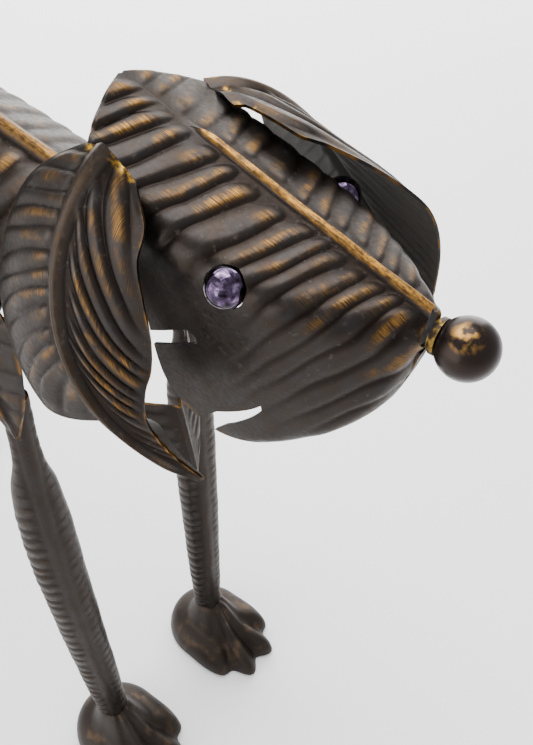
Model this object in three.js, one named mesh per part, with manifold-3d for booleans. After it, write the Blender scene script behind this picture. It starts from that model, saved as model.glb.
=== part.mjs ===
// A standing dog built from pressed, ribbed leaves of sheet metal, with ball eyes and nose and cast paws.
// Millimetres. +X runs towards the nose, +Y to the dog's left, +Z up from the floor. Places are first given
// from the floor point midway between the front legs, and the finished dog is moved so that its origin is
// below its middle.
import * as THREE from 'three';
import { mergeVertices } from 'three/addons/utils/BufferGeometryUtils.js';
import Module from 'manifold-3d';

const wasm = await Module();
wasm.setup();

const at = (x, y, z) => new THREE.Vector3(x, y, z);
const { degToRad, smoothstep, clamp } = THREE.MathUtils;

// Driving dimensions
const SHEET = 0.9; // thickness of every pressed leaf
const GAP = 0.3; // clearance kept between pieces that touch
const STANCE = 41; // each leg's distance from the middle plane at the paw
const HIND_X = -268; // how far the hind legs stand behind the front ones
const ANKLE_HEIGHT = 36; // where a leg meets its paw
const PAW_X = -5; // the front paws' ankles
const CREST_FRONT = at(120, 0, 360.5); // the head's midrib at the nose
const CREST_BACK = at(26, 0, 392); // and at the leaf's tip, the highest point of the head
const NOSE_CENTRE = at(130, 0, 354.6);
const NOSE_RADIUS = 7.8;
const EYE_RADIUS = 5.3;
const EYE_ROW = 0.317; // where on the head leaf an eye sits, along its midrib
const EYE_ACROSS = 0.305; // and across it, from the midrib to the margin
const EYE_PROUD = -0.6; // how far an eye's centre stands out of the sheet
const EYE_CLEARANCE = 0.4; // between an eye and the hole that it sits in

// Finishes
const finish = (color, roughness, metalness) =>
  new THREE.MeshStandardMaterial({ color, roughness, metalness });
const darkBronze = finish(0x3a332e, 0.45, 0.9);
const castIron = finish(0x352c25, 0.6, 0.8);
const wornBall = finish(0x4b3f30, 0.4, 0.9);
const tintedSteel = finish(0x51466e, 0.18, 1);

// A smooth curve through a few stations, each a place and the value there.
function through(stations) {
  const last = stations.length - 1;
  const slope = (i) => {
    const [placeA, valueA] = stations[Math.max(i - 1, 0)];
    const [placeB, valueB] = stations[Math.min(i + 1, last)];
    return (valueB - valueA) / (placeB - placeA);
  };
  return (place) => {
    let i = 0;
    while (i < last - 1 && place > stations[i + 1][0]) i += 1;
    const span = stations[i + 1][0] - stations[i][0];
    const t = clamp((place - stations[i][0]) / span, 0, 1);
    const start = (1 + 2 * t) * (1 - t) ** 2 * stations[i][1] + t * (1 - t) ** 2 * span * slope(i);
    const end = t * t * (3 - 2 * t) * stations[i + 1][1] + t * t * (t - 1) * span * slope(i + 1);
    return start + end;
  };
}

// Only positions, with shared corners joined, so that a shape is one closed surface.
function closed(geometry) {
  geometry.deleteAttribute('normal');
  geometry.deleteAttribute('uv');
  return mergeVertices(geometry, 1e-4);
}

function toSolid(geometry) {
  const { position } = geometry.attributes;
  const vertProperties = new Float32Array(position.array);
  const triVerts = new Uint32Array(geometry.index.array);
  return new wasm.Manifold(new wasm.Mesh({ numProp: 3, vertProperties, triVerts }));
}

function cut(geometry, cutters) {
  const solid = cutters.reduce((rest, cutter) => rest.subtract(toSolid(closed(cutter))), toSolid(geometry));
  const mesh = solid.getMesh();
  const result = new THREE.BufferGeometry();
  result.setAttribute('position', new THREE.BufferAttribute(mesh.vertProperties, 3));
  result.setIndex(new THREE.BufferAttribute(mesh.triVerts, 1));
  return result;
}

// Pressed leaves. A leaf follows its midrib from the stalk (u = 0) to the tip (u = 1). Across it, v runs from
// one margin (-1) to the other (1). The sheet leaves the midrib at an angle below the leaf's own plane, and
// bend(u, arc, side) gives that angle at each distance from the midrib. The rows sweep towards the tip as
// leaf veins do, and each second row is a rib's crest.
const SECTION_STEPS = 14; // straight steps that add up to the bent section
const CROWDING = 1.5; // draws the columns together beside the midrib
const GUTTER = 3; // the plain strip between the midrib and where the ribs begin
const RIB_START = 4; // the length over which a rib rises out of the gutter

function ribLift(leaf, u, arc) {
  const { count, height, reach, spine } = leaf.ribs;
  const crest = Math.abs(Math.sin(Math.PI * u * count));
  const rise = smoothstep(arc, GUTTER, GUTTER + RIB_START);
  const fade = 1 - smoothstep(arc, 0.6 * reach, reach);
  return height * crest * rise * fade + spine * Math.max(0, 1 - arc / GUTTER);
}

function leafPoint(leaf, u, v, offset) {
  const side = v < 0 ? -1 : 1;
  const arc = Math.abs(v) * leaf.half(u, side);
  const length = leaf.midrib.getLength();
  const along = u + (leaf.sweep(u, side) * arc) / length;
  const inside = clamp(along, 0, 1);
  const onward = leaf.midrib.getTangentAt(inside);
  const point = leaf.midrib.getPointAt(inside).addScaledVector(onward, (along - inside) * length);
  const up = leaf.facing(inside).clone();
  if (!leaf.plumb) up.addScaledVector(onward, -up.dot(onward)).normalize();
  const outward = at(0, 0, 0).crossVectors(up, onward).normalize();
  const step = arc / SECTION_STEPS;
  let across = 0;
  let down = 0;
  for (let i = 0; i < SECTION_STEPS; i += 1) {
    const angle = leaf.bend(u, (i + 0.5) * step, side);
    across += Math.cos(angle) * step;
    down += Math.sin(angle) * step;
  }
  const tilt = arc > 0 ? leaf.bend(u, arc, side) : 0;
  const lift = offset + ribLift(leaf, u, arc);
  across += Math.sin(tilt) * lift;
  down -= Math.cos(tilt) * lift;
  return point.addScaledVector(outward, side * across).addScaledVector(up, -down);
}

function pressedLeaf(leaf) {
  const sheet = new THREE.BoxGeometry(1, 1, 1, leaf.rows, leaf.columns, 1);
  const place = sheet.attributes.position;
  for (let i = 0; i < place.count; i += 1) {
    const v = 2 * place.getY(i);
    const crowded = Math.sign(v) * Math.abs(v) ** CROWDING;
    place.setXYZ(i, ...leafPoint(leaf, place.getX(i) + 0.5, crowded, place.getZ(i) * SHEET));
  }
  return closed(sheet);
}

const curve = (...points) => new THREE.CubicBezierCurve3(...points);
const turning = (from, to) => (u) => from.clone().lerp(to, u).normalize();
const always = (value) => () => value;
const plain = { count: 1, height: 0, reach: 1, spine: 0 };

// Head: the leaf's stalk is at the nose and its tip at the back of the skull. Its sections stand upright.
// The roof slopes gently to the brow, where the sheet turns down into the cheek, and near the nose it turns
// in again under the chin.
const browArc = through([
  [0, 5], [0.06, 10], [0.15, 18], [0.25, 24], [0.4, 26], [0.6, 26.5], [0.8, 26], [1, 21],
]);
const headHalf = through([
  [0, 17], [0.06, 44], [0.14, 75], [0.2, 94], [0.27, 96], [0.38, 82],
  [0.5, 56], [0.62, 37], [0.75, 27.5], [0.88, 15.5], [1, 1.2],
]);
const BROW_TURN = 8; // half the length over which the sheet turns down at the brow
const ROOF_ANGLE = degToRad(16);
const CHEEK_ANGLE = degToRad(95);
const CHIN_ANGLE = degToRad(62); // how much further the jaw turns in
const CHIN_TURN = 16; // the strip along the margin that turns in

function headBend(u, arc) {
  const brow = browArc(u);
  const turn = Math.min(BROW_TURN, brow);
  const cheek = (CHEEK_ANGLE - ROOF_ANGLE) * smoothstep(arc, brow - turn, brow + turn);
  const jaw = 1 - smoothstep(u, 0.12, 0.26);
  const half = headHalf(u);
  const chin = CHIN_ANGLE * jaw * smoothstep(arc, half - CHIN_TURN, half);
  return ROOF_ANGLE + cheek + chin;
}

// A straight prism through both cheeks, drawn from the side.
function cheekCutter(shape) {
  const through = 90;
  const prism = new THREE.ExtrudeGeometry(shape, { depth: through, bevelEnabled: false, curveSegments: 6 });
  return prism.rotateX(Math.PI / 2).translate(0, through / 2, 0);
}

function mouthSlit() {
  const corner = [84.5, 321.5];
  const lipTop = [69, 309.5];
  const lipBottom = [71, 304];
  const beyond = 9; // how far the cut runs past the margin
  const shape = new THREE.Shape();
  shape.moveTo(corner[0], corner[1]);
  shape.quadraticCurveTo(78.5, 314.5, lipTop[0], lipTop[1]);
  shape.lineTo(lipTop[0] - beyond, lipTop[1] - beyond);
  shape.lineTo(lipBottom[0] - beyond, lipBottom[1] - beyond - 2);
  shape.lineTo(lipBottom[0], lipBottom[1]);
  shape.quadraticCurveTo(80.5, 311.5, corner[0] + 0.8, corner[1] - 0.6);
  return cheekCutter(shape);
}

function cheekSlot() {
  const end = [64.2, 338.6];
  const slope = degToRad(30);
  const radius = 2.4;
  const length = 34;
  const shape = new THREE.Shape();
  shape.absarc(0, 0, radius, -Math.PI / 2, Math.PI / 2, false);
  shape.lineTo(-length, radius);
  shape.lineTo(-length, -radius);
  return cheekCutter(shape).rotateY(-slope).translate(end[0], 0, end[1]);
}

const eyeCentre = (proud) => leafPoint(head, EYE_ROW, EYE_ACROSS, proud);

function eyeHole(side) {
  const radius = EYE_RADIUS + EYE_CLEARANCE;
  const mirror = at(1, side, 1);
  const axis = eyeCentre(1).sub(eyeCentre(0)).multiply(mirror).normalize();
  const place = eyeCentre(EYE_PROUD).multiply(mirror);
  const drill = new THREE.CylinderGeometry(radius, radius, 16, 18);
  drill.applyQuaternion(new THREE.Quaternion().setFromUnitVectors(at(0, 1, 0), axis));
  return drill.translate(place.x, place.y, place.z);
}

const head = {
  midrib: new THREE.LineCurve3(CREST_FRONT, CREST_BACK),
  facing: () => at(0, 0, 1),
  plumb: true,
  half: headHalf,
  sweep: (u) => 0.45 * smoothstep(u, 0, 0.36),
  bend: headBend,
  ribs: { count: 13, height: 1.3, reach: 70, spine: 1.4 },
  rows: 26,
  columns: 14,
};

function headLeaf() {
  return cut(pressedLeaf(head), [mouthSlit(), cheekSlot(), eyeHole(1), eyeHole(-1)]);
}

function ballAt(centre, radius, segments) {
  const ball = new THREE.SphereGeometry(radius, segments, Math.round(segments * 0.7));
  return ball.translate(centre.x, centre.y, centre.z);
}

// The stub between the head and the nose, hollowed at its end to take the ball.
function noseCollar() {
  const profile = [[0, 0], [3.8, 0], [4.8, 1], [4.8, 5], [0, 5]];
  const stub = new THREE.LatheGeometry(profile.map(([r, y]) => new THREE.Vector2(r, y)), 14);
  const back = NOSE_CENTRE.x - NOSE_RADIUS - 1;
  stub.rotateZ(-Math.PI / 2).translate(back, 0, NOSE_CENTRE.z);
  return cut(closed(stub), [ballAt(NOSE_CENTRE, NOSE_RADIUS + GAP, 16)]);
}

// Ears, both described on the right-hand side, where v is positive on the half that lies towards the nose.
function earLeaf({ points, rootFacing, tipFacing, rootSlant, frontFold, rearFold, frontHalf, rearHalf }) {
  const droop = degToRad(14);
  const tuck = degToRad(70); // how much further the rear half folds back towards the tip
  const fold = (u, side) =>
    side > 0 ? degToRad(frontFold) : degToRad(rearFold) + tuck * smoothstep(u, 0.5, 0.8);
  return pressedLeaf({
    midrib: curve(...points),
    facing: turning(rootFacing, tipFacing),
    half: (u, side) => (side > 0 ? frontHalf(u) : rearHalf(u)),
    sweep: (u, side) => (side > 0 ? rootSlant + (0.3 - rootSlant) * smoothstep(u, 0, 0.25) : 0.55),
    bend: (u, arc, side) => fold(u, side) + droop * smoothstep(arc, 10, 30),
    ribs: { count: 9, height: 1.3, reach: 60, spine: 1.2 },
    rows: 18,
    columns: 8,
  });
}

const rightEar = () =>
  earLeaf({
    points: [at(44, -23.4, 386.8), at(34, -42, 372), at(26, -54, 312), at(80, -40, 307)],
    rootFacing: at(-0.2, -0.7, 0.7),
    tipFacing: at(0.1, -1, 0),
    rootSlant: 0,
    frontFold: 18,
    rearFold: 6,
    frontHalf: through([
      [0, 11.7], [0.06, 19.8], [0.14, 21.8], [0.22, 24.6], [0.34, 26], [0.48, 24.7],
      [0.62, 20.8], [0.7, 14.9], [0.78, 9], [0.88, 4.9], [1, 1.2],
    ]),
    rearHalf: through([
      [0, 8], [0.08, 26], [0.22, 36], [0.4, 35], [0.55, 27], [0.7, 17], [0.85, 8], [1, 1.2],
    ]),
  });

const leftEar = () =>
  earLeaf({
    points: [at(36, -24, 382.4), at(58, -43, 385), at(68, -56, 338), at(102, -42, 320)],
    rootFacing: at(0.21, -0.12, 0.95),
    tipFacing: at(0.2, -1.6, -0.3),
    rootSlant: 0.6,
    frontFold: 2,
    rearFold: 20,
    frontHalf: through([
      [0, 13], [0.06, 24.5], [0.12, 26], [0.2, 26], [0.3, 28], [0.45, 29.5], [0.6, 27], [0.8, 17], [1, 1.2],
    ]),
    rearHalf: through([[0, 8], [0.12, 22], [0.35, 30], [0.6, 28], [0.85, 14], [1, 1.2]]),
  });

// Trunk: one leaf laid along the spine from the neck to the rump and wrapped down both flanks, open along the
// belly.
function backLeaf() {
  const half = through([[0, 62], [0.1, 92], [0.25, 100], [0.55, 94], [0.8, 74], [0.93, 44], [1, 14]]);
  const roof = degToRad(30);
  const flank = degToRad(60);
  const belly = degToRad(35);
  return pressedLeaf({
    midrib: curve(at(14, 0, 347), at(-64, 0, 377), at(-210, 0, 377), at(-300, 0, 338)),
    facing: () => at(0, 0, 1),
    half,
    sweep: always(0.18),
    bend: (u, arc) => roof + flank * smoothstep(arc, 20, 58) + belly * smoothstep(arc, 58, 100),
    ribs: { count: 14, height: 1.4, reach: 110, spine: 1.6 },
    rows: 28,
    columns: 12,
  });
}

// Neck: a plain rolled leaf from inside the trunk up into the hollow of the head.
function neckLeaf() {
  const radius = 12;
  const wrap = degToRad(165);
  const half = radius * wrap;
  return pressedLeaf({
    midrib: curve(at(-18, 0, 326), at(10, 0, 333), at(34, 0, 352), at(56, 0, 375)),
    facing: () => at(-0.5, 0, 0.87),
    half: always(half),
    sweep: always(0),
    bend: (u, arc) => wrap * (arc / half),
    ribs: plain,
    rows: 5,
    columns: 8,
  });
}

// Chest: a bib bent round the front of the trunk, with its tip pointing down between the front legs.
function chestLeaf() {
  const keel = degToRad(24);
  return pressedLeaf({
    midrib: curve(at(33, 0, 271), at(35, 0, 259), at(37, 0, 247), at(38, 0, 234)),
    facing: () => at(1, 0, 0.1),
    half: through([[0, 38], [0.25, 30], [0.5, 20], [0.75, 11], [1, 1.2]]),
    sweep: always(-0.7),
    bend: (u, arc) => keel + degToRad(34) * smoothstep(arc, 6, 36),
    ribs: plain,
    rows: 5,
    columns: 10,
  });
}

// Leaves over the tops of the legs, tip down, on the right-hand side.
function limbLeaf(points, width) {
  return pressedLeaf({
    midrib: curve(...points),
    facing: () => at(0, -1, 0.15),
    half: through([[0, 0.3 * width], [0.25, 0.92 * width], [0.45, width], [0.75, 0.62 * width], [1, 1.2]]),
    sweep: always(0.3),
    bend: () => degToRad(9),
    ribs: { count: 4, height: 0.8, reach: 60, spine: 0.8 },
    rows: 8,
    columns: 4,
  });
}

const shoulderLeaf = () =>
  limbLeaf([at(-26, -38, 342), at(-20, -44, 325), at(-8, -46, 302), at(4, -48, 278)], 21);
function haunchLeaf() {
  const places = [[5, -37, 340], [9, -45, 318], [11, -49, 294], [12, -50, 266]];
  return limbLeaf(places.map(([x, y, z]) => at(HIND_X + x, y, z)), 27);
}

// Legs: leaves rolled into tubes, with a narrow stalk at the top. A leg is given by the axis of its tube, and
// the midrib runs down the side that it faces.
const LEG_WRAP = degToRad(168);
const FRONT_TURN = -0.43; // both front legs' midribs are turned to the dog's right

function legLeaf(axis, facing) {
  const radius = through([[0, 4.6], [0.12, 5], [0.2, 8.4], [0.33, 10], [0.7, 9.2], [1, 7.4]]);
  const half = (u) => radius(u) * LEG_WRAP;
  const midrib = axis.map((point, i) => point.clone().addScaledVector(facing, radius(i / 3)));
  return pressedLeaf({
    midrib: curve(...midrib),
    facing: always(facing),
    half,
    sweep: always(0),
    bend: (u, arc) => LEG_WRAP * (arc / half(u)),
    ribs: plain,
    rows: 8,
    columns: 8,
  });
}

function frontLeg(side) {
  const foot = at(PAW_X, -STANCE, ANKLE_HEIGHT + GAP);
  const axis = [at(-2.5, -41, 288), at(-6, -46, 215), at(-6.5, -43, 125), foot];
  return legLeaf(axis, at(0.9, FRONT_TURN * side, 0));
}

function hindLeg() {
  const foot = at(HIND_X + PAW_X, -STANCE, ANKLE_HEIGHT + GAP);
  const hip = at(HIND_X + 13.5, -41, 282);
  const axis = [hip, at(HIND_X + 31, -40, 190), at(HIND_X - 43.5, -STANCE, 125), foot];
  return legLeaf(axis, at(1, 0, 0));
}

// Paws: one casting each, spread from the ankle, with four toes parted by grooves and a flat sole.
const PAW_REACH = { toes: 44, heel: 27, side: 24.5 };
const TOE_HEIGHT = 17;
const ANKLE_SPREAD = 0.6; // how far out the ankle runs into the foot, as a share of the foot's reach
const TOE_PITCH = degToRad(26);
const GROOVE_WIDTH = degToRad(8);
const GROOVE_DEPTH = 0.34; // of a groove between two toes, as a share of their height
const GROOVE_NOTCH = 0.15; // and how far it notches the outline, as a share of the reach
const SPLAY = 0.16; // how much further the outer toes reach than an oval
const SOLE_INSET = 0.96; // the sole, as a share of the outline above it

function grooveAt(turn) {
  const grooves = [-1, 0, 1].map((i) => Math.exp(-(((turn - i * TOE_PITCH) / GROOVE_WIDTH) ** 2)));
  return Math.max(...grooves);
}

function paw() {
  const ball = new THREE.SphereGeometry(1, 28, 8).rotateX(Math.PI / 2);
  const place = ball.attributes.position;
  for (let i = 0; i < place.count; i += 1) {
    const turn = Math.atan2(place.getY(i), place.getX(i));
    const spread = Math.hypot(place.getX(i), place.getY(i));
    const front = Math.max(0, Math.cos(turn));
    const lengthwise = Math.cos(turn) > 0 ? PAW_REACH.toes : PAW_REACH.heel;
    const oval = 1 / Math.hypot(Math.cos(turn) / lengthwise, Math.sin(turn) / PAW_REACH.side);
    const splay = 1 + SPLAY * Math.sin(2 * Math.abs(turn)) * front;
    const groove = grooveAt(turn);
    const reach = oval * splay * (1 - GROOVE_NOTCH * groove);
    const above = place.getZ(i) > 0;
    const dip = GROOVE_DEPTH * groove * smoothstep(spread, 0.5, 0.9);
    const crown = TOE_HEIGHT * Math.sqrt(Math.max(0, 1 - spread ** 4)) * (1 - dip);
    const ankle = (ANKLE_HEIGHT - TOE_HEIGHT) * (1 - smoothstep(spread, 0.18, ANKLE_SPREAD));
    const out = reach * (above ? spread : SOLE_INSET * spread);
    place.setXYZ(i, out * Math.cos(turn), out * Math.sin(turn), above ? crown + ankle : 0);
  }
  return closed(ball);
}

// Tail: a slender folded leaf that curves up behind the rump.
function tailLeaf() {
  return pressedLeaf({
    midrib: curve(at(-297, 0, 347), at(-330, 0, 350), at(-348, 0, 362), at(-352, 0, 388)),
    facing: turning(at(0, 0, 1), at(1, 0, 0)),
    half: through([[0, 4], [0.3, 9], [0.6, 9], [0.85, 5], [1, 1]]),
    sweep: always(0.5),
    bend: () => degToRad(32),
    ribs: plain,
    rows: 8,
    columns: 4,
  });
}

// Assembly
const dog = new THREE.Group();
const pieces = new THREE.Group();
dog.add(pieces);

// Shapes are described on the right-hand side, and side -1 mirrors one to the left.
function add(name, geometry, material, side = 1) {
  geometry.computeVertexNormals();
  const mesh = new THREE.Mesh(geometry, material);
  mesh.name = name;
  mesh.scale.y = side;
  pieces.add(mesh);
  return mesh;
}

add('head_leaf', headLeaf(), darkBronze);
add('nose_ball', closed(ballAt(NOSE_CENTRE, NOSE_RADIUS, 12)), wornBall);
add('nose_collar', noseCollar(), castIron);
add('ear_right', rightEar(), darkBronze);
add('ear_left', leftEar(), darkBronze, -1);
add('back_leaf', backLeaf(), darkBronze);
add('neck_leaf', neckLeaf(), darkBronze);
add('chest_leaf', chestLeaf(), darkBronze);
add('tail_leaf', tailLeaf(), darkBronze);

const eyeBall = closed(ballAt(eyeCentre(EYE_PROUD), EYE_RADIUS, 10));
for (const [word, side] of [['right', 1], ['left', -1]]) {
  add(`eye_${word}`, eyeBall, tintedSteel, side);
  add(`shoulder_leaf_${word}`, shoulderLeaf(), darkBronze, side);
  add(`haunch_leaf_${word}`, haunchLeaf(), darkBronze, side);
  add(`front_leg_${word}`, frontLeg(side), darkBronze, side);
  add(`hind_leg_${word}`, hindLeg(), darkBronze, side);
  for (const [end, x] of [['front', PAW_X], ['hind', HIND_X + PAW_X]]) {
    const mesh = add(`${end}_paw_${word}`, paw(), castIron);
    mesh.position.set(x, -STANCE * side, 0);
  }
}

const box = new THREE.Box3().setFromObject(pieces);
const middle = box.getCenter(at(0, 0, 0));
pieces.position.set(-middle.x, -middle.y, -box.min.z);

export default dog;
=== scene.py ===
import math
from dataclasses import dataclass
from typing import Callable

import bmesh
import bpy
import numpy as np
from mathutils import Matrix, Vector


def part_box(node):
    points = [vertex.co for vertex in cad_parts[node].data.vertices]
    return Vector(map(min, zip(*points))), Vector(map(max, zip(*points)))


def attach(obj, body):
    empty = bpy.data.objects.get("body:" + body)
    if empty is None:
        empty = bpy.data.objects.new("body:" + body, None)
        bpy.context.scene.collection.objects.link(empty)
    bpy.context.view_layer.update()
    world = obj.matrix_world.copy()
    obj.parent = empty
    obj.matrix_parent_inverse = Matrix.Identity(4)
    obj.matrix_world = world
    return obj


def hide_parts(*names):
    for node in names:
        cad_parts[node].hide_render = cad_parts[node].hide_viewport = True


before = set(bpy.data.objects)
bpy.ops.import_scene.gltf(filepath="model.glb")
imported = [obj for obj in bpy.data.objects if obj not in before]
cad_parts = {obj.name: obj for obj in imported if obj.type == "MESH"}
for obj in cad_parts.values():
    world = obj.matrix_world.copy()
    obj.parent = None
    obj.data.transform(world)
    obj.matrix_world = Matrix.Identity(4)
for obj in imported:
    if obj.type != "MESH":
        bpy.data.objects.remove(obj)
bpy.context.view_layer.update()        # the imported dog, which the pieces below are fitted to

# Sizes and places are in millimetres from the floor point midway between the front legs: x to the nose,
# y to the dog's left, z up. HOME moves them into the frame, where the nose ball shows how far.
MM = 0.001
NOSE_CENTRE = np.array([130.0, 0.0, 354.6])
NOSE_RADIUS = 7.8
nose_low, nose_high = (np.array(corner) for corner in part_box("nose_ball"))
HOME = (nose_low + nose_high) / 2 / MM - NOSE_CENTRE

SHEET = 0.9  # thickness of every pressed leaf
STANCE = 41.0  # each leg's distance from the middle plane at the paw
HIND_X = -268.0
ANKLE_HEIGHT = 36.0
CREST_FRONT = (120.0, 0.0, 360.5)  # the head's midrib at the nose
CREST_BACK = (26.0, 0.0, 392.0)
EYE_RADIUS = 5.3
EYE_ROW = 0.317
EYE_ACROSS = 0.305
EYE_PROUD = -0.6
EYE_CLEARANCE = 0.25  # between an eye and its socket


# Curves and steps that the leaves are drawn with

def smoothstep(value, low, high):
    share = np.clip((value - low) / (high - low), 0, 1)
    return share * share * (3 - 2 * share)


def through(*stations):
    """A smooth curve through a few stations, each a place and the value there."""
    places, values = np.array(stations, float).T
    last = len(places) - 1
    before = np.maximum(np.arange(last + 1) - 1, 0)
    after = np.minimum(np.arange(last + 1) + 1, last)
    slopes = (values[after] - values[before]) / (places[after] - places[before])

    def at(place):
        i = np.clip(np.searchsorted(places, place) - 1, 0, last - 1)
        span = places[i + 1] - places[i]
        t = np.clip((place - places[i]) / span, 0, 1)
        start = (1 + 2 * t) * (1 - t) ** 2 * values[i] + t * (1 - t) ** 2 * span * slopes[i]
        end = t * t * (3 - 2 * t) * values[i + 1] + t * t * (t - 1) * span * slopes[i + 1]
        return start + end

    return at


def unit(vectors):
    return vectors / np.linalg.norm(vectors, axis=-1, keepdims=True)


class Midrib:
    """The curve that a leaf grows along, read by share of its length from stalk to tip."""

    STEPS = 400

    def __init__(self, *points):
        t = np.linspace(0, 1, self.STEPS + 1)[:, None]
        p = [np.array(point, float) for point in points]
        if len(p) == 2:
            self.path = p[0] + (p[1] - p[0]) * t
        else:
            near = (1 - t) ** 3 * p[0] + 3 * (1 - t) ** 2 * t * p[1]
            self.path = near + 3 * (1 - t) * t * t * p[2] + t**3 * p[3]
        run = np.cumsum(np.linalg.norm(np.diff(self.path, axis=0), axis=1))
        self.length = run[-1]
        self.share = np.concatenate([[0], run / self.length])
        self.heading = unit(np.gradient(self.path, axis=0))

    def read(self, table, share):
        return np.stack([np.interp(share, self.share, table[:, i]) for i in range(3)], axis=-1)

    def at(self, share):
        return self.read(self.path, share)

    def onward(self, share):
        return unit(self.read(self.heading, share))


def facing(root, tip=None):
    """Which way a leaf's outer face looks beside its midrib, from the stalk to the tip."""
    first = np.array(root, float)
    last = first if tip is None else np.array(tip, float)
    return lambda u: unit(first + (last - first) * np.asarray(u)[..., None])


@dataclass
class Ribs:
    """The carving of a leaf: ribs that leave its midrib like veins, and the midrib itself."""

    height: float
    count: float = 1  # ribs on each half, where no course numbers them
    reach: Callable = lambda number: 60.0  # distance from the midrib at which a rib has died away
    share: tuple = (1.0, 1.0)  # how much of that height they have on the v < 0 and the v > 0 half
    gutter: tuple = (3.4, 3.4)  # plain strip beside the midrib on those halves
    gutter_end: float = 2.0  # where along the leaf the strip begins to close
    border: float = 1.5  # strip along the margin where the ribs die away
    worn: float = 16.0  # how far out from the gutter the crests are rubbed to gold
    gold: float = 1.0  # how strongly
    spine: tuple = (1.4, 1.0)  # half the midrib's width at the stalk and at the tip
    spine_height: float = 1.4
    spine_end: float = 0.95  # where along the leaf the midrib has died away
    soft_fold: float = 0.0  # strip over which the sheet rounds over beyond that
    spine_gold: float = 1.0


@dataclass
class Leaf:
    midrib: Midrib
    facing: Callable
    half: Callable  # distance from midrib to margin, by u and side
    bend: Callable  # angle of the sheet below the leaf's own plane, by u, distance out and side
    sweep: Callable  # how far the rows lean towards the tip
    ribs: Ribs
    plumb: bool = False  # sections stand upright
    course: Callable = None  # number of the rib that passes a place, whole on its crest
    brazed: bool = False  # stalk end brazed to its neighbour
    lap: float = 0.0  # how far that end laps over it


SECTION_STEPS = 28
RIB_END = 5.5  # length over which a rib rises out of the gutter
GUTTER_DIP = 0.3
GROOVE_AT = 0.68  # a rib slopes gently from its crest to this groove behind it, and steeply in front
GROOVE_SHARE = 0.13  # half a groove's width, as a share of the distance between ribs
DENT = 0.2  # unevenness of the hand-worked sheet


def uneven(along, across, seed):
    """Shallow dents and bulges of hand-worked sheet, between -1 and 1."""
    long_wave = np.sin(along / 9.7 + seed) * np.sin(across / 7.9 + 1.7 * seed)
    short_wave = np.sin(along / 3.9 + across / 6.1 + 2.3 * seed)
    return 0.65 * long_wave + 0.35 * short_wave


def leaf_relief(leaf, u, along, arc, side):
    """Height over the plain sheet, and the marks that its finish and its painted highlight follow."""
    ribs = leaf.ribs
    seed = 1.3 + 0.9 * side
    number = leaf.course(along, arc, side) if leaf.course else u * ribs.count
    number = number + 0.1 * np.sin(1.7 * number + seed) + 0.05 * np.sin(arc / 5 + 3 * number)
    rib = np.floor(number + 1 - GROOVE_AT)
    past_crest = number - rib
    gentle = 1 - smoothstep(past_crest, 0, GROOVE_AT)
    steep = 1 - smoothstep(-past_crest, 0, 1 - GROOVE_AT)
    ridge = np.where(past_crest > 0, gentle, steep)
    to_groove = np.minimum(GROOVE_AT - past_crest, past_crest + 1 - GROOVE_AT)
    groove = np.exp(-((to_groove / GROOVE_SHARE) ** 2))
    strength = 0.8 + 0.2 * np.sin(12.9 * rib + 3.1 * side)
    strength = strength * np.where(side > 0, ribs.share[1], ribs.share[0])
    open_gutter = 1 - smoothstep(along, ribs.gutter_end, ribs.gutter_end + 0.25)
    start = np.where(side > 0, ribs.gutter[1], ribs.gutter[0]) * open_gutter
    start = start + 3.2 * (1 - ridge) ** 2 + 0.9 * np.sin(7.7 * rib + seed)
    rise = smoothstep(arc, start, start + RIB_END)
    reach = ribs.reach(number)
    room = leaf.half(u, side) - arc
    shown = rise * (1 - smoothstep(arc, 0.45 * reach, reach)) * smoothstep(room, 0, ribs.border)
    spine_width = ribs.spine[0] + (ribs.spine[1] - ribs.spine[0]) * along
    spine = np.exp(-((arc / spine_width) ** 2))
    spine = spine * (1 - smoothstep(along, ribs.spine_end - 0.1, ribs.spine_end))
    dip = smoothstep(arc, spine_width, spine_width + 1) * (1 - smoothstep(arc, start, start + 3))
    dip = dip * open_gutter
    carved = min(1, ribs.height)
    lift = ribs.height * strength * (0.6 * ridge + 0.4 * (1 - groove)) * shown
    lift = lift + ribs.spine_height * spine - GUTTER_DIP * carved * dip
    lift = lift + DENT * uneven(along * leaf.midrib.length, arc * side, seed)
    if ribs.soft_fold:
        fold = np.tan(leaf.bend(u, np.zeros_like(arc), side)) / (2 * ribs.soft_fold)
        rounding = fold * np.maximum(0, ribs.soft_fold - arc) ** 2
        lift = lift - rounding * smoothstep(along, ribs.spine_end - 0.12, ribs.spine_end + 0.05)
    rubbed = ribs.worn * (0.75 + 0.45 * np.sin(4.3 * rib + 2.0 * side))
    stretch = smoothstep(arc, start + 1.5, start + 5)
    stretch = stretch * (1 - smoothstep(arc, start + 0.4 * rubbed, start + rubbed + 4))
    hollow = shown * np.maximum(groove, np.clip((0.4 - ridge) / 0.4, 0, 1))
    marks = {
        "rib_number": number,
        "worn": ribs.gold * np.clip((ridge - 0.55) / 0.35, 0, 1) * shown * stretch,
        # painted highlight: the ribs' rounded ends beside the gutter are marked to be painted paler, as if
        # catching the light
        "finger_highlight": carved * ridge * rise * (1 - smoothstep(arc, start + 2.5, start + 6)),
        "groove": carved * np.maximum(hollow, 0.8 * dip),
        "spine": ribs.spine_gold * np.clip((spine - 0.4) / 0.35, 0, 1),
    }
    return lift, marks


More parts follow.
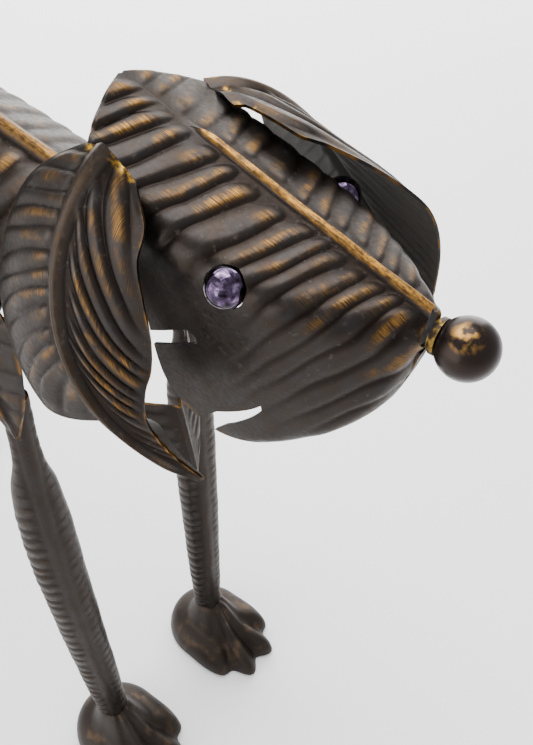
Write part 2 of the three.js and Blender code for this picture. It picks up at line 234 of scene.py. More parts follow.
def leaf_places(leaf, u, v, offset=0.0):
    """Places on a leaf and their marks (finish, and one painted highlight), u from stalk to tip and v from
    margin (-1) to margin (1).
    """
    side = np.where(v < 0, -1.0, 1.0)
    half = leaf.half(u, side)
    arc = np.abs(v) * half
    length = leaf.midrib.length
    along = u + leaf.sweep(u, side) * arc / length
    inside = np.clip(along, 0, 1)
    onward = leaf.midrib.onward(inside)
    up = np.broadcast_to(leaf.facing(inside), onward.shape)
    if not leaf.plumb:
        up = unit(up - onward * np.sum(up * onward, axis=-1, keepdims=True))
    outward = unit(np.cross(up, onward))
    across = np.zeros_like(arc)
    down = np.zeros_like(arc)
    step = arc / SECTION_STEPS
    for i in range(SECTION_STEPS):
        angle = leaf.bend(u, (i + 0.5) * step, side)
        across = across + np.cos(angle) * step
        down = down + np.sin(angle) * step
    tilt = np.where(arc > 0, leaf.bend(u, arc, side), 0)
    lift, marks = leaf_relief(leaf, u, along, arc, side)
    lift = lift + offset
    across = across + np.sin(tilt) * lift
    down = down - np.cos(tilt) * lift
    past_end = (along - inside) * length
    places = leaf.midrib.at(inside) + onward * past_end[..., None]
    places = places + outward * (side * across)[..., None] - up * down[..., None]
    to_margin = np.minimum(half - arc, np.minimum(u, 1 - u) * length)
    marks["rim"] = 1 - smoothstep(to_margin, 0.1, 0.6)
    marks["braze"] = (1 - smoothstep(u * length, 0.3, 2.2)) * leaf.brazed
    marks["flat"] = np.stack([along * length, arc * side], axis=-1)
    return places, marks


# From leaves to pieces

def new_piece(name, mesh, *materials):
    for material in materials:
        mesh.materials.append(material)
    piece = bpy.data.objects.new(name, mesh)
    bpy.context.scene.collection.objects.link(piece)
    return piece


def baked(piece):
    """The piece with its modifiers made part of its mesh."""
    graph = bpy.context.evaluated_depsgraph_get()
    mesh = bpy.data.meshes.new_from_object(piece.evaluated_get(graph))
    piece.modifiers.clear()
    piece.data = mesh
    return piece


CROWDING = 1.3  # draws the columns together beside the midrib
EDGE_ANGLE = math.radians(48)  # edges sharper than this are kept crisp


def pressed_sheet(name, leaf, rows, columns, mirrored=False, cutters=()):
    bm = bmesh.new()
    bmesh.ops.create_grid(bm, x_segments=rows, y_segments=columns, size=0.5)
    mesh = bpy.data.meshes.new(name)
    bm.to_mesh(mesh)
    bm.free()
    grid = np.empty(len(mesh.vertices) * 3)
    mesh.vertices.foreach_get("co", grid)
    grid = grid.reshape(-1, 3)
    v = np.clip(2 * grid[:, 1], -1, 1)
    lap = leaf.lap / leaf.midrib.length
    u = np.clip(grid[:, 0] + 0.5, 0, 1) * (1 + lap) - lap
    places, marks = leaf_places(leaf, u, np.sign(v) * np.abs(v) ** CROWDING)
    if mirrored:
        places = places * [1, -1, 1]
    mesh.vertices.foreach_set("co", ((places + HOME) * MM).ravel())
    flat = marks.pop("flat")
    for mark, values in marks.items():
        layer = mesh.attributes.new(mark, "FLOAT", "POINT")
        layer.data.foreach_set("value", values)
    corners = np.empty(len(mesh.loops), dtype=np.int32)
    mesh.loops.foreach_get("vertex_index", corners)
    mesh.uv_layers.new(name="flat").data.foreach_set("uv", flat[corners].ravel())
    if mirrored:
        mesh.flip_normals()
    piece = new_piece(name, mesh, OUTER_FACE, INNER_FACE)
    solid = piece.modifiers.new("sheet thickness", "SOLIDIFY")
    solid.thickness = SHEET * MM
    solid.offset = 0
    solid.material_offset = 1
    for cutter in cutters:
        cut = piece.modifiers.new("cut", "BOOLEAN")
        cut.operation = "DIFFERENCE"
        cut.solver = "EXACT"
        cut.object = cutter
    baked(piece)
    for cutter in cutters:
        bpy.data.objects.remove(cutter)
    piece.data.shade_smooth()
    piece.data.set_sharp_from_angle(angle=EDGE_ANGLE)
    return piece


def placed(bm, name, *materials):
    """The bmesh as a piece, moved from the dog's own millimetres into the frame."""
    bmesh.ops.transform(bm, matrix=Matrix.Scale(MM, 4) @ Matrix.Translation(HOME), verts=bm.verts)
    mesh = bpy.data.meshes.new(name)
    bm.to_mesh(mesh)
    bm.free()
    mesh.shade_smooth()
    mesh.set_sharp_from_angle(angle=EDGE_ANGLE)
    return new_piece(name, mesh, *materials)


def keep(piece, node):
    """Attaches a finished piece to the root body, in place of its solid, which it hides."""
    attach(piece, "root")
    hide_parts(node)


# Materials

def colour(hex_code):
    """An sRGB hex colour as linear values with full alpha."""
    shares = [int(hex_code[i : i + 2], 16) / 255 for i in (1, 3, 5)]
    return [s / 12.92 if s <= 0.04045 else ((s + 0.055) / 1.055) ** 2.4 for s in shares] + [1]


def add_node(tree, kind, settings=None, **links):
    """A node of that kind. settings names its own options or input sockets, links what feeds its inputs."""
    node = tree.nodes.new("ShaderNode" + kind)
    for name, value in (settings or {}).items():
        if isinstance(name, str) and hasattr(node, name):
            setattr(node, name, value)
        else:
            node.inputs[name].default_value = value
    for name, source in links.items():
        socket = int(name[1:]) if name[0] == "_" else name.replace("_", " ")
        tree.links.new(source, node.inputs[socket])
    return node


def new_material(name):
    material = bpy.data.materials.new(name)
    material.use_nodes = True
    tree = material.node_tree
    return material, tree, tree.nodes["Principled BSDF"]


def product(tree, first, second):
    return add_node(tree, "Math", {"operation": "MULTIPLY"}, _0=first, _1=second).outputs[0]


def larger(tree, first, second):
    return add_node(tree, "Math", {"operation": "MAXIMUM"}, _0=first, _1=second).outputs[0]


def blend(tree, share, first, second):
    """One colour turning into another. A colour is a hex code or a socket."""
    settings = {"data_type": "RGBA"}
    links = {"_0": share}
    for socket, tint in ((6, first), (7, second)):
        if isinstance(tint, str):
            settings[socket] = colour(tint)
        else:
            links[f"_{socket}"] = tint
    return add_node(tree, "Mix", settings, **links).outputs[2]


def between(tree, value, low, high, to_low=0.0, to_high=1.0):
    """The value's place between low and high, as a share or on another scale."""
    settings = {"From Min": low, "From Max": high, "To Min": to_low, "To Max": to_high}
    return add_node(tree, "MapRange", settings, Value=value).outputs[0]


def noise(tree, size, place, detail=3):
    """Noise with features of about that size in millimetres, on a place in metres."""
    settings = {"Scale": 1 / (size * MM), "Detail": detail}
    return add_node(tree, "TexNoise", settings, Vector=place).outputs["Fac"]


EDGE_SHEEN = "#d2d0ce"  # the patina dulls even a glancing reflection
STROKE_WIDTH = 0.24  # of the strokes that rubbing leaves across a crest
STREAK_LENGTH = 3.0  # of the wear along the midrib
STREAK_WIDTH = 0.18


def patinated_sheet(name, dark, brown, hollow, pale_and_highlight, gold, brass):
    """Sheet steel pressed by hand, under a dark bronze patina that is rubbed back on its ribs and edges.

    The eye sees a satin near-black skin that greys where it catches light, browner in the grooves and
    paler on the ribs' rounded ends, where a highlight is painted, and warm gold along the midrib, the rims
    and the rib crests, where the rubbing has left short strokes across each crest. Yellow brass shows where a
    stalk is brazed on.
    """
    material, tree, skin = new_material(name)
    marks = {
        mark: add_node(tree, "Attribute", {"attribute_name": mark}).outputs["Fac"]
        for mark in ("rib_number", "worn", "finger_highlight", "groove", "spine", "rim", "braze")
    }
    flat = add_node(tree, "UVMap", {"uv_map": "flat"}).outputs["UV"]
    out_from_midrib = add_node(tree, "SeparateXYZ", Vector=flat).outputs["Y"]
    place = add_node(tree, "TexCoord").outputs["Object"]
    blotches = noise(tree, 6, place)
    specks = noise(tree, 1.6, place, 5)
    stroke_place = add_node(tree, "CombineXYZ", X=marks["rib_number"], Y=out_from_midrib).outputs[0]
    stroke_scale = {"Scale": (0.8, 1 / STROKE_WIDTH, 1)}
    stroke_place = add_node(tree, "Mapping", stroke_scale, Vector=stroke_place).outputs[0]
    stroke_look = {"Scale": 1, "Detail": 3, "Roughness": 0.75}
    strokes = add_node(tree, "TexNoise", stroke_look, Vector=stroke_place).outputs["Fac"]
    crest = product(tree, marks["worn"], between(tree, strokes, 0.43, 0.68))
    crest = product(tree, crest, between(tree, blotches, 0.38, 0.62, 0.05, 0.9))
    streak_scale = {"Scale": (1 / STREAK_LENGTH, 1 / STREAK_WIDTH, 1)}
    streak_place = add_node(tree, "Mapping", streak_scale, Vector=flat).outputs[0]
    streak_look = {"Scale": 1, "Detail": 4, "Roughness": 0.7}
    streaks = add_node(tree, "TexNoise", streak_look, Vector=streak_place).outputs["Fac"]
    midrib = product(tree, marks["spine"], between(tree, streaks, 0.4, 0.57, 0.15, 0.9))
    midrib = product(tree, midrib, between(tree, specks, 0.35, 0.55, 0.45, 1))
    edge = product(tree, marks["rim"], between(tree, blotches, 0.45, 0.65, 0, 0.3))
    rubbed = larger(tree, larger(tree, crest, midrib), edge)
    brazed = product(tree, marks["braze"], between(tree, blotches, 0.5, 0.6))
    brazed = product(tree, brazed, between(tree, specks, 0.42, 0.55))
    tint = blend(tree, between(tree, blotches, 0.35, 0.65), dark, brown)
    tint = blend(tree, marks["groove"], tint, hollow)
    # painted highlight: the ribs' rounded ends are painted pale, as if catching the light
    tint = blend(tree, between(tree, marks["finger_highlight"], 0.3, 1, 0, 0.45), tint, pale_and_highlight)
    tint = blend(tree, between(tree, specks, 0.62, 0.75, 0, 0.2), tint, pale_and_highlight)
    tint = blend(tree, rubbed, tint, gold)
    tint = blend(tree, brazed, tint, brass)
    tree.links.new(tint, skin.inputs["Base Color"])
    skin.inputs["Metallic"].default_value = 0.86
    skin.inputs["Specular Tint"].default_value = colour(EDGE_SHEEN)
    tree.links.new(between(tree, specks, 0.3, 0.7, 0.28, 0.46), skin.inputs["Roughness"])
    scratched = product(tree, strokes, marks["worn"])
    grain = add_node(tree, "Math", {"operation": "ADD"}, _0=specks, _1=scratched).outputs[0]
    bump = add_node(tree, "Bump", {"Strength": 0.3, "Distance": 0.15 * MM}, Height=grain)
    tree.links.new(bump.outputs[0], skin.inputs["Normal"])
    return material


def inner_patina(name, dark):
    """The inside of the pressed sheet: the same patina left as it was, dull and even, without any rubbing."""
    material, tree, skin = new_material(name)
    place = add_node(tree, "TexCoord").outputs["Object"]
    skin.inputs["Base Color"].default_value = colour(dark)
    skin.inputs["Specular IOR Level"].default_value = 0.35
    tree.links.new(between(tree, noise(tree, 8, place), 0.3, 0.7, 0.5, 0.65), skin.inputs["Roughness"])
    return material


def cast_patina(name, dark, warm, patch_size, worn_from):
    """Cast iron under the same dark patina: slightly pitted, duller than the sheet, worn warm in patches."""
    material, tree, skin = new_material(name)
    place = add_node(tree, "TexCoord").outputs["Object"]
    worn = between(tree, noise(tree, patch_size, place, 5), worn_from, worn_from + 0.2)
    tree.links.new(blend(tree, worn, dark, warm), skin.inputs["Base Color"])
    skin.inputs["Metallic"].default_value = 0.9
    tree.links.new(between(tree, worn, 0, 1, 0.5, 0.4), skin.inputs["Roughness"])
    bump = add_node(tree, "Bump", {"Strength": 0.35, "Distance": 0.3 * MM}, Height=noise(tree, 1.2, place))
    tree.links.new(bump.outputs[0], skin.inputs["Normal"])
    return material


def worn_ball(name, dark, gold, centre, radius):
    """A steel ball under dark patina, rubbed to gold in one patch on top, where a hand would touch it."""
    material, tree, skin = new_material(name)
    place = add_node(tree, "TexCoord").outputs["Object"]
    away = add_node(tree, "VectorMath", {"operation": "DISTANCE", 1: centre}, _0=place).outputs["Value"]
    near = between(tree, away, 0.2 * radius, radius, 1, 0)
    worn = product(tree, near, between(tree, noise(tree, 3.2, place, 6), 0.46, 0.58))
    tree.links.new(blend(tree, worn, dark, gold), skin.inputs["Base Color"])
    skin.inputs["Metallic"].default_value = 0.95
    tree.links.new(between(tree, noise(tree, 4, place), 0.3, 0.7, 0.24, 0.4), skin.inputs["Roughness"])
    return material


def tinted_steel(name):
    """Polished steel ball tinted by heat: a mirror skin, dark violet with paler clouds."""
    material, tree, skin = new_material(name)
    place = add_node(tree, "TexCoord").outputs["Object"]
    ramp = add_node(tree, "ValToRGB", Fac=noise(tree, 1.8, place, 4))
    stops = ramp.color_ramp.elements
    stops[0].position = 0.36
    stops[0].color = colour("#1f1a20")
    stops[1].position = 0.72
    stops[1].color = colour("#8b7894")
    stops.new(0.54).color = colour("#46394f")
    tree.links.new(ramp.outputs["Color"], skin.inputs["Base Color"])
    skin.inputs["Metallic"].default_value = 1.0
    skin.inputs["Roughness"].default_value = 0.1
    return material


# 67625d is the pale colour of the random flecks and of the painted highlight on the ribs' rounded ends
OUTER_FACE = patinated_sheet(
    "patinated_sheet", "#2a2726", "#2a231e", "#150e0a", "#67625d", "#a8782f", "#a98128"
)
INNER_FACE = inner_patina("bare_patina_inside", "#46423e")
CASTING = cast_patina("patinated_cast_iron", "#2c2622", "#46382a", 9, 0.55)
BRAZED_CASTING = cast_patina("brazed_cast_iron", "#2b2218", "#b08a30", 3, 0.46)
NOSE_PATCH = NOSE_CENTRE + NOSE_RADIUS * np.array([0.07, -0.48, 0.87])  # where the ball is rubbed
BALL_SKIN = worn_ball("worn_steel_ball", "#2a2320", "#a67c3c", (NOSE_PATCH + HOME) * MM, 4.6 * MM)
EYE_SKIN = tinted_steel("heat_tinted_steel")


# Head: stalk at the nose, tip at the back of the skull, folded over its midrib into roof and cheeks

brow_arc = through((0, 5), (0.06, 10), (0.15, 18), (0.25, 24), (0.4, 26), (0.6, 26.5), (0.8, 26), (1, 21))
head_half = through(
    (0, 17), (0.06, 44), (0.14, 75), (0.2, 94), (0.27, 96), (0.38, 82),
    (0.5, 56), (0.62, 37), (0.75, 27.5), (0.88, 15.5), (1, 1.2),
)
BROW_TURN = 8.0
ROOF_ANGLE = math.radians(16)
CHEEK_ANGLE = math.radians(95)
CHIN_ANGLE = math.radians(62)
CHIN_TURN = 16.0


def head_bend(u, arc, side):
    brow = brow_arc(u)
    turn = np.minimum(BROW_TURN, brow)
    cheek = (CHEEK_ANGLE - ROOF_ANGLE) * smoothstep(arc, brow - turn, brow + turn)
    jaw = 1 - smoothstep(u, 0.12, 0.26)
    half = head_half(u)
    return ROOF_ANGLE + cheek + CHIN_ANGLE * jaw * smoothstep(arc, half - CHIN_TURN, half)


head_crests = through((-0.4, -7), (0.1, 2.6), (0.35, 7.1), (0.66, 11), (1, 15.8))


def head_course(along, arc, side):
    """The ribs lie closer together at the nose, and lean back more strongly on the cheek than on the roof."""
    lean = 0.42 * arc + 0.18 * np.maximum(0, arc - 18)
    return head_crests(along - lean / head_midrib.length)


head_midrib = Midrib(CREST_FRONT, CREST_BACK)
head_leaf = Leaf(
    midrib=head_midrib,
    facing=facing((0, 0, 1)),
    half=lambda u, side: head_half(u),
    bend=head_bend,
    sweep=lambda u, side: 0.45 * smoothstep(u, 0, 0.36),
    ribs=Ribs(
        height=1.15, reach=lambda number: 84 - 40 * smoothstep(number, 2.2, 5.1), share=(0.5, 1),
        gutter=(1.8, 1.8), gutter_end=0.6, worn=20, spine=(1.1, 0.35), spine_height=1.2, spine_end=0.78,
        soft_fold=9,
    ),
    plumb=True,
    course=head_course,
)

THROUGH_CHEEKS = 90.0  # length of a cutter that passes through both cheeks


def cheek_prism(outline, name):
    """A cutter through both cheeks, from its outline seen from the side as (x, z) pairs."""
    bm = bmesh.new()
    verts = [bm.verts.new((x, -THROUGH_CHEEKS / 2, z)) for x, z in outline]
    face = bm.faces.new(verts)
    grown = bmesh.ops.extrude_face_region(bm, geom=[face])
    moved = [part for part in grown["geom"] if isinstance(part, bmesh.types.BMVert)]
    bmesh.ops.translate(bm, verts=moved, vec=(0, THROUGH_CHEEKS, 0))
    bmesh.ops.recalc_face_normals(bm, faces=bm.faces)
    return placed(bm, name)


def bowed(start, middle, end, steps=10):
    """Points on a quadratic curve, its end left out."""
    a, b, c = (np.array(p, float) for p in (start, middle, end))
    return [tuple((1 - t) ** 2 * a + 2 * t * (1 - t) * b + t * t * c) for t in np.arange(steps) / steps]


def mouth_cutter():
    corner = (84.5, 321.5)
    lip_top = (69.0, 309.5)
    lip_bottom = (71.0, 304.0)
    beyond = 9.0
    upper = bowed(corner, (78.5, 314.5), lip_top)
    past = [
        lip_top,
        (lip_top[0] - beyond, lip_top[1] - beyond),
        (lip_bottom[0] - beyond, lip_bottom[1] - beyond - 2),
    ]
    lower = bowed(lip_bottom, (80.5, 311.5), (corner[0] + 0.8, corner[1] - 0.6))
    return cheek_prism(upper + past + lower, "mouth_cutter")


def slot_cutter():
    end = np.array([64.2, 338.6])
    slope = math.radians(30)
    radius = 2.4
    length = 34.0
    turns = np.linspace(-math.pi / 2, math.pi / 2, 13)
    onward = np.array([math.cos(slope), math.sin(slope)])
    across = np.array([-math.sin(slope), math.cos(slope)])
    outline = [(radius * math.cos(t), radius * math.sin(t)) for t in turns]
    outline += [(-length, radius), (-length, -radius)]
    return cheek_prism([end + x * onward + z * across for x, z in outline], "slot_cutter")


def eye_place(side):
    places, marks = leaf_places(head_leaf, np.array([EYE_ROW]), np.array([EYE_ACROSS]), EYE_PROUD)
    return places[0] * [1, side, 1]


def eye_cutter(side):
    bm = bmesh.new()
    middle = Matrix.Translation(eye_place(side))
    radius = EYE_RADIUS + EYE_CLEARANCE
    bmesh.ops.create_uvsphere(bm, u_segments=48, v_segments=32, radius=radius, matrix=middle)
    return placed(bm, "eye_cutter")


head = pressed_sheet(
    "head_sheet", head_leaf, rows=195, columns=110,
    cutters=[mouth_cutter(), slot_cutter(), eye_cutter(1), eye_cutter(-1)],
)
keep(head, "head_leaf")


# Balls: nose and eyes

def ball(name, centre, radius, skin):
    bm = bmesh.new()
    middle = Matrix.Translation(centre)
    bmesh.ops.create_uvsphere(bm, u_segments=64, v_segments=40, radius=radius, matrix=middle)
    return placed(bm, name, skin)


keep(ball("nose", NOSE_CENTRE, NOSE_RADIUS, BALL_SKIN), "nose_ball")
for word, side in (("right", 1), ("left", -1)):
    eye = ball(f"{word}_eye", eye_place(side), EYE_RADIUS, EYE_SKIN)
    keep(eye, f"eye_{word}")


def nose_stub():
    """The short turned stub between snout and ball, its end hollowed to the ball."""
    bm = bmesh.new()
    back = NOSE_CENTRE[0] - NOSE_RADIUS - 1
    seat = NOSE_RADIUS + 0.3
    rim = 4.8
    profile = [(back, 0), (back, 3.8), (back + 1, rim)]
    for r in np.linspace(rim, 0, 6):
        profile.append((NOSE_CENTRE[0] - math.sqrt(seat**2 - r**2), r))
    points = [bm.verts.new((x, 0, NOSE_CENTRE[2] + r)) for x, r in profile]
    edges = [bm.edges.new(pair) for pair in zip(points, points[1:])]
    bmesh.ops.spin(
        bm, geom=points + edges, cent=NOSE_CENTRE, axis=(1, 0, 0), angle=2 * math.pi, steps=32, use_merge=True
    )
    bmesh.ops.remove_doubles(bm, verts=bm.verts, dist=1e-4)
    bmesh.ops.recalc_face_normals(bm, faces=bm.faces)
    return placed(bm, "nose_stub", BRAZED_CASTING)


keep(nose_stub(), "nose_collar")


# Ears, both described on the right-hand side

EAR_DROOP = math.radians(14)
EAR_TUCK = math.radians(70)
EAR_LENGTH = 110.0


def ear_course(along, arc, side):
    """Ribs of the front half run almost beside the midrib, those of the rear half leave it squarely."""
    front = along - (1.9 + 6 * along) * arc**0.75 / EAR_LENGTH
    rear = along - 0.42 * arc / EAR_LENGTH
    return np.where(side > 0, 13.3 * front + 0.8, 22 * rear)


def ear_leaf(
    points, root_facing, tip_facing, root_slant, front_fold, rear_fold, front_half, rear_half, gold, lap=0.0
):
    """An ear folded along its midrib, with the angles of its two halves in degrees."""

    def bend(u, arc, side):
        rear = math.radians(rear_fold) + EAR_TUCK * smoothstep(u, 0.5, 0.8)
        return np.where(side > 0, math.radians(front_fold), rear) + EAR_DROOP * smoothstep(arc, 10, 30)

    def sweep(u, side):
        return np.where(side > 0, root_slant + (0.3 - root_slant) * smoothstep(u, 0, 0.25), 0.55)

    return Leaf(
        midrib=Midrib(*points),
        facing=facing(root_facing, tip_facing),
        half=lambda u, side: np.where(side > 0, front_half(u), rear_half(u)),
        bend=bend,
        sweep=sweep,
        ribs=Ribs(
            height=1.45, share=(0.6, 1), gutter=(1.2, 2.4), border=6, worn=24, gold=gold,
            spine=(2.6, 0.5), spine_height=1.2, spine_end=1.0, spine_gold=0.05,
        ),
        course=ear_course,
        brazed=True,
        lap=lap,
    )


right_ear = ear_leaf(
    [(44, -23.4, 386.8), (34, -42, 372), (26, -54, 312), (80, -40, 307)],
    (-0.2, -0.7, 0.7), (0.1, -1, 0), 0, 18, 6,
    through(
        (0, 11.7), (0.06, 19.8), (0.14, 21.8), (0.22, 24.6), (0.34, 26), (0.48, 24.7),
        (0.62, 20.8), (0.7, 14.9), (0.78, 9), (0.88, 4.9), (1, 1.2),
    ),
    through((0, 8), (0.08, 26), (0.22, 36), (0.4, 35), (0.55, 27), (0.7, 17), (0.85, 8), (1, 1.2)),
    gold=0.75,
)
left_ear = ear_leaf(
    [(36, -24, 382.4), (58, -43, 385), (68, -56, 338), (102, -42, 320)],
    (0.21, -0.12, 0.95), (0.2, -1.6, -0.3), 0.6, 2, 20,
    through(
        (0, 13), (0.06, 24.5), (0.12, 26), (0.2, 26), (0.3, 28), (0.45, 29.5),
        (0.6, 27), (0.8, 17), (1, 1.2),
    ),
    through((0, 8), (0.12, 22), (0.35, 30), (0.6, 28), (0.85, 14), (1, 1.2)),
    gold=0.25, lap=3,
)
keep(pressed_sheet("right_ear_sheet", right_ear, 180, 110), "ear_right")
keep(pressed_sheet("left_ear_sheet", left_ear, 180, 110, mirrored=True), "ear_left")


# Trunk, neck, chest and tail

def straight(angle):
    return lambda u, arc, side: np.full_like(arc, angle)


def even(value):
    return lambda u, side: np.full_like(u, value)


PLAIN = Ribs(height=0, gold=0, spine_height=0, spine_gold=0)
back_half = through((0, 62), (0.1, 92), (0.25, 100), (0.55, 94), (0.8, 74), (0.93, 44), (1, 14))


def back_bend(u, arc, side):
    flank = math.radians(60) * smoothstep(arc, 20, 58)
    return math.radians(30) + flank + math.radians(35) * smoothstep(arc, 58, 100)


back_leaf = Leaf(
    midrib=Midrib((14, 0, 347), (-64, 0, 377), (-210, 0, 377), (-300, 0, 338)),
    facing=facing((0, 0, 1)),
    half=lambda u, side: back_half(u),
    bend=back_bend,
    sweep=even(0.18),
    ribs=Ribs(
        count=28, height=1.3, reach=lambda number: 110.0, worn=30, gold=0.7,
        spine=(2.4, 1.8), spine_gold=0.6,
    ),
)
keep(pressed_sheet("back_sheet", back_leaf, 280, 90), "back_leaf")

NECK_RADIUS = 12.0
NECK_WRAP = math.radians(165)
neck_leaf = Leaf(
    midrib=Midrib((-18, 0, 326), (10, 0, 333), (34, 0, 352), (56, 0, 375)),
    facing=facing((-0.5, 0, 0.87)),
    half=even(NECK_RADIUS * NECK_WRAP),
    bend=lambda u, arc, side: arc / NECK_RADIUS,
    sweep=even(0),
    ribs=PLAIN,
)
keep(pressed_sheet("neck_sheet", neck_leaf, 40, 48), "neck_leaf")

chest_half = through((0, 38), (0.25, 30), (0.5, 20), (0.75, 11), (1, 1.2))
chest_leaf = Leaf(
    midrib=Midrib((33, 0, 271), (35, 0, 259), (37, 0, 247), (38, 0, 234)),
    facing=facing((1, 0, 0.1)),
    half=lambda u, side: chest_half(u),
    bend=lambda u, arc, side: math.radians(24) + math.radians(34) * smoothstep(arc, 6, 36),
    sweep=even(-0.7),
    ribs=Ribs(count=6, height=0.5, gold=0, spine=(0.8, 0.5), spine_height=0.5, spine_gold=0),
)
keep(pressed_sheet("chest_sheet", chest_leaf, 60, 60), "chest_leaf")

tail_half = through((0, 4), (0.3, 9), (0.6, 9), (0.85, 5), (1, 1))
tail_leaf = Leaf(
    midrib=Midrib((-297, 0, 347), (-330, 0, 350), (-348, 0, 362), (-352, 0, 388)),
    facing=facing((0, 0, 1), (1, 0, 0)),
    half=lambda u, side: tail_half(u),
    bend=straight(math.radians(32)),
    sweep=even(0.5),
    ribs=Ribs(
        count=12, height=0.5, gutter=(1.5, 1.5), worn=4, gold=0.6,
        spine=(0.9, 0.5), spine_height=0.7, spine_gold=0.5,
    ),
)
keep(pressed_sheet("tail_sheet", tail_leaf, 120, 36), "tail_leaf")


# Limbs, described on the right-hand side

def limb_leaf(points, width):
    half = through((0, 0.3 * width), (0.25, 0.92 * width), (0.45, width), (0.75, 0.62 * width), (1, 1.2))
    return Leaf(
        midrib=Midrib(*points),
        facing=facing((0, -1, 0.15)),
        half=lambda u, side: half(u),
        bend=straight(math.radians(9)),
        sweep=even(0.3),
        ribs=Ribs(
            count=8, height=0.7, gutter=(2.2, 2.2), worn=8, gold=0.4,
            spine=(1.2, 0.6), spine_height=0.9, spine_gold=0.3,
        ),
    )


LEG_WRAP = math.radians(168)
leg_radius = through((0, 4.6), (0.12, 5), (0.2, 8.4), (0.33, 10), (0.7, 9.2), (1, 7.4))
LEG_RIBS = 38
LEG_LENGTH = 250.0
BARE_STALK = 7  # number of the first rib below the leg's plain stalk


def leg_leaf(axis, front, share):
    """A leaf rolled into a tube round its axis, with its midrib in front and most of its ribs on one half."""
    way = np.array(front, float)
    midrib = [np.array(point, float) + way * leg_radius(i / 3) for i, point in enumerate(axis)]
    return Leaf(
        midrib=Midrib(*midrib),
        facing=facing(front),
        half=lambda u, side: leg_radius(u) * LEG_WRAP,
        bend=lambda u, arc, side: arc / leg_radius(u),
        sweep=even(0),
        ribs=Ribs(
            height=0.7, share=share, gutter=(3.0, 3.0), worn=3, gold=0.4,
            reach=lambda number: 0.1 + 24 * smoothstep(number, BARE_STALK, BARE_STALK + 2),
            spine=(2.2, 1.8), spine_height=0.5, spine_gold=0,
        ),
        course=lambda along, arc, side: LEG_RIBS * (along - 0.3 * arc / LEG_LENGTH),
    )


shoulder_leaf = limb_leaf([(-26, -38, 342), (-20, -44, 325), (-8, -46, 302), (4, -48, 278)], 21)
haunch_leaf = limb_leaf(
    [(HIND_X + 5, -37, 340), (HIND_X + 9, -45, 318), (HIND_X + 11, -49, 294), (HIND_X + 12, -50, 266)], 27
)
ANKLE = ANKLE_HEIGHT + 0.3
FRONT_TURN = -0.43  # both front legs' midribs are turned to the dog's right
PAW_X = -5.0


def front_leg(side):
    axis = [(-2.5, -41, 288), (-6, -46, 215), (-6.5, -43, 125), (PAW_X, -STANCE, ANKLE)]
    share = (0.8, 0.15) if side > 0 else (0.15, 0.8)
    return leg_leaf(axis, (0.9, FRONT_TURN * side, 0), share)


hind_axis = [
    (HIND_X + 13.5, -41, 282), (HIND_X + 31, -40, 190),
    (HIND_X - 43.5, -STANCE, 125), (HIND_X + PAW_X, -STANCE, ANKLE),
]
hind_leg = leg_leaf(hind_axis, (1, 0, 0), (0.8, 0.15))
for word, mirrored in (("right", False), ("left", True)):
    for node, leaf, rows, columns in (
        ("shoulder_leaf", shoulder_leaf, 88, 40),
        ("haunch_leaf", haunch_leaf, 88, 44),
        ("front_leg", front_leg(-1 if mirrored else 1), 416, 40),
        ("hind_leg", hind_leg, 416, 40),
    ):
        piece = pressed_sheet(f"{word}_{node}_sheet", leaf, rows, columns, mirrored)
        keep(piece, f"{node}_{word}")


# Paws: castings with toes, drawn out of a ball

PAW_TOES = 44.0
PAW_HEEL = 27.0
PAW_SIDE = 24.5
TOE_HEIGHT = 17.0
TOE_PITCH = math.radians(26)
GROOVE_WIDTH = math.radians(8)
GROOVE_DEPTH = 0.34  # of a groove between two toes, as a share of their height
GROOVE_NOTCH = 0.15
SPLAY = 0.16
SOLE_INSET = 0.96
ANKLE_SPREAD = 0.6


def paw(name, x, y):
    bm = bmesh.new()
    bmesh.ops.create_uvsphere(bm, u_segments=120, v_segments=48, radius=1)
    for vert in bm.verts:
        px, py, pz = vert.co
        turn = math.atan2(py, px)
        spread = math.hypot(px, py)
        ahead = math.cos(turn)
        reach = 1 / math.hypot(ahead / (PAW_TOES if ahead > 0 else PAW_HEEL), math.sin(turn) / PAW_SIDE)
        groove = max(math.exp(-(((turn - i * TOE_PITCH) / GROOVE_WIDTH) ** 2)) for i in (-1, 0, 1))
        reach *= (1 + SPLAY * math.sin(2 * abs(turn)) * max(0, ahead)) * (1 - GROOVE_NOTCH * groove)
        dip = GROOVE_DEPTH * groove * float(smoothstep(spread, 0.5, 0.9))
        crown = TOE_HEIGHT * math.sqrt(max(0, 1 - spread**4)) * (1 - dip)
        ankle = (ANKLE_HEIGHT - TOE_HEIGHT) * (1 - float(smoothstep(spread, 0.18, ANKLE_SPREAD)))
        out = reach * (spread if pz > 0 else SOLE_INSET * spread)
        vert.co = (x + out * ahead, y + out * math.sin(turn), crown + ankle if pz > 0 else 0)
    return placed(bm, name, CASTING)


for word, side in (("right", -1), ("left", 1)):
    for end, x in (("front", PAW_X), ("hind", HIND_X + PAW_X)):
        keep(paw(f"{word}_{end}_paw_casting", x, STANCE * side), f"{end}_paw_{word}")


# Stage: pale floor, soft light and the camera of the photograph

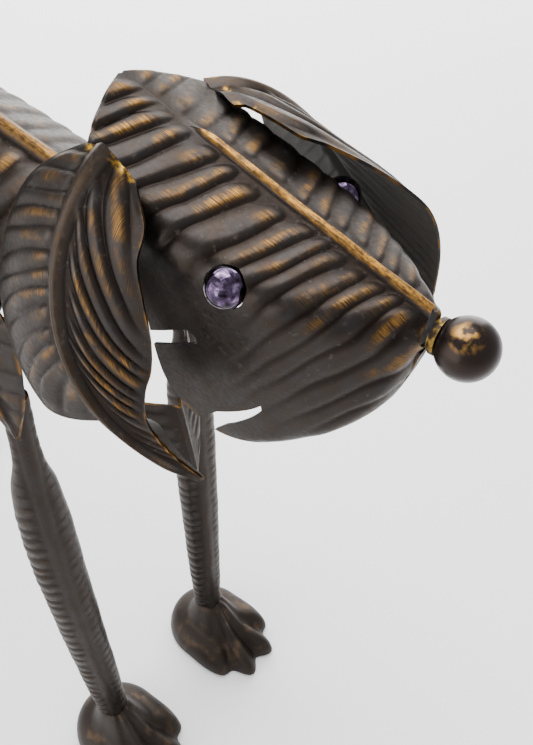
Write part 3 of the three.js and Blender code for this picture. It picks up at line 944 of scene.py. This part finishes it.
FLOOR_SIZE = 6.0
bm = bmesh.new()
bmesh.ops.create_grid(bm, x_segments=1, y_segments=1, size=FLOOR_SIZE / 2)
floor_mesh = bpy.data.meshes.new("floor")
bm.to_mesh(floor_mesh)
bm.free()
floor = new_piece("floor", floor_mesh)

# Seamless paper: an even pale ground that takes soft shadows
floor_paint, tree, skin = new_material("matt_white_paper")
skin.inputs["Base Color"].default_value = colour("#e9e9ea")
skin.inputs["Roughness"].default_value = 0.9
floor.data.materials.append(floor_paint)

world = bpy.data.worlds.new("pale_studio")
bpy.context.scene.world = world
world.use_nodes = True
sky = world.node_tree.nodes["Background"]
sky.inputs["Color"].default_value = colour("#f4f5f7")
sky.inputs["Strength"].default_value = 1.2


def softbox(name, place, aim, size, watts):
    lamp = bpy.data.lights.new(name, "AREA")
    lamp.shape = "RECTANGLE"
    lamp.size, lamp.size_y = size
    lamp.energy = watts
    box = bpy.data.objects.new(name, lamp)
    box.location = place
    box.rotation_euler = (Vector(aim) - Vector(place)).to_track_quat("-Z", "Y").to_euler()
    box.visible_camera = False
    bpy.context.scene.collection.objects.link(box)


CHEST = (0.1, 0.0, 0.3)
softbox("overhead_softbox", (-0.3, 0.15, 1.6), CHEST, (1.3, 1.3), 46)
softbox("back_softbox", (-0.75, 1.1, 0.75), CHEST, (2.4, 1.4), 58)
softbox("side_softbox", (-0.45, -1.3, 0.45), CHEST, (1.6, 1.2), 22)

IMAGE_HEIGHT = 745  # pixels, the long side of the picture
FOCAL_PIXELS = 785
SENSOR = 36.0
CAMERA_PLACE = np.array([173.0, -132.0, 478.0])
AZIMUTH = math.radians(37.4)
ELEVATION = math.radians(45)
camera_data = bpy.data.cameras.new("camera")
camera_data.sensor_width = SENSOR
camera_data.lens = FOCAL_PIXELS / IMAGE_HEIGHT * SENSOR
camera_data.clip_start = 0.01
camera = bpy.data.objects.new("camera", camera_data)
camera.location = (CAMERA_PLACE + HOME) * MM
camera.rotation_euler = (math.pi / 2 - ELEVATION, 0, AZIMUTH)
bpy.context.scene.collection.objects.link(camera)
bpy.context.scene.camera = camera
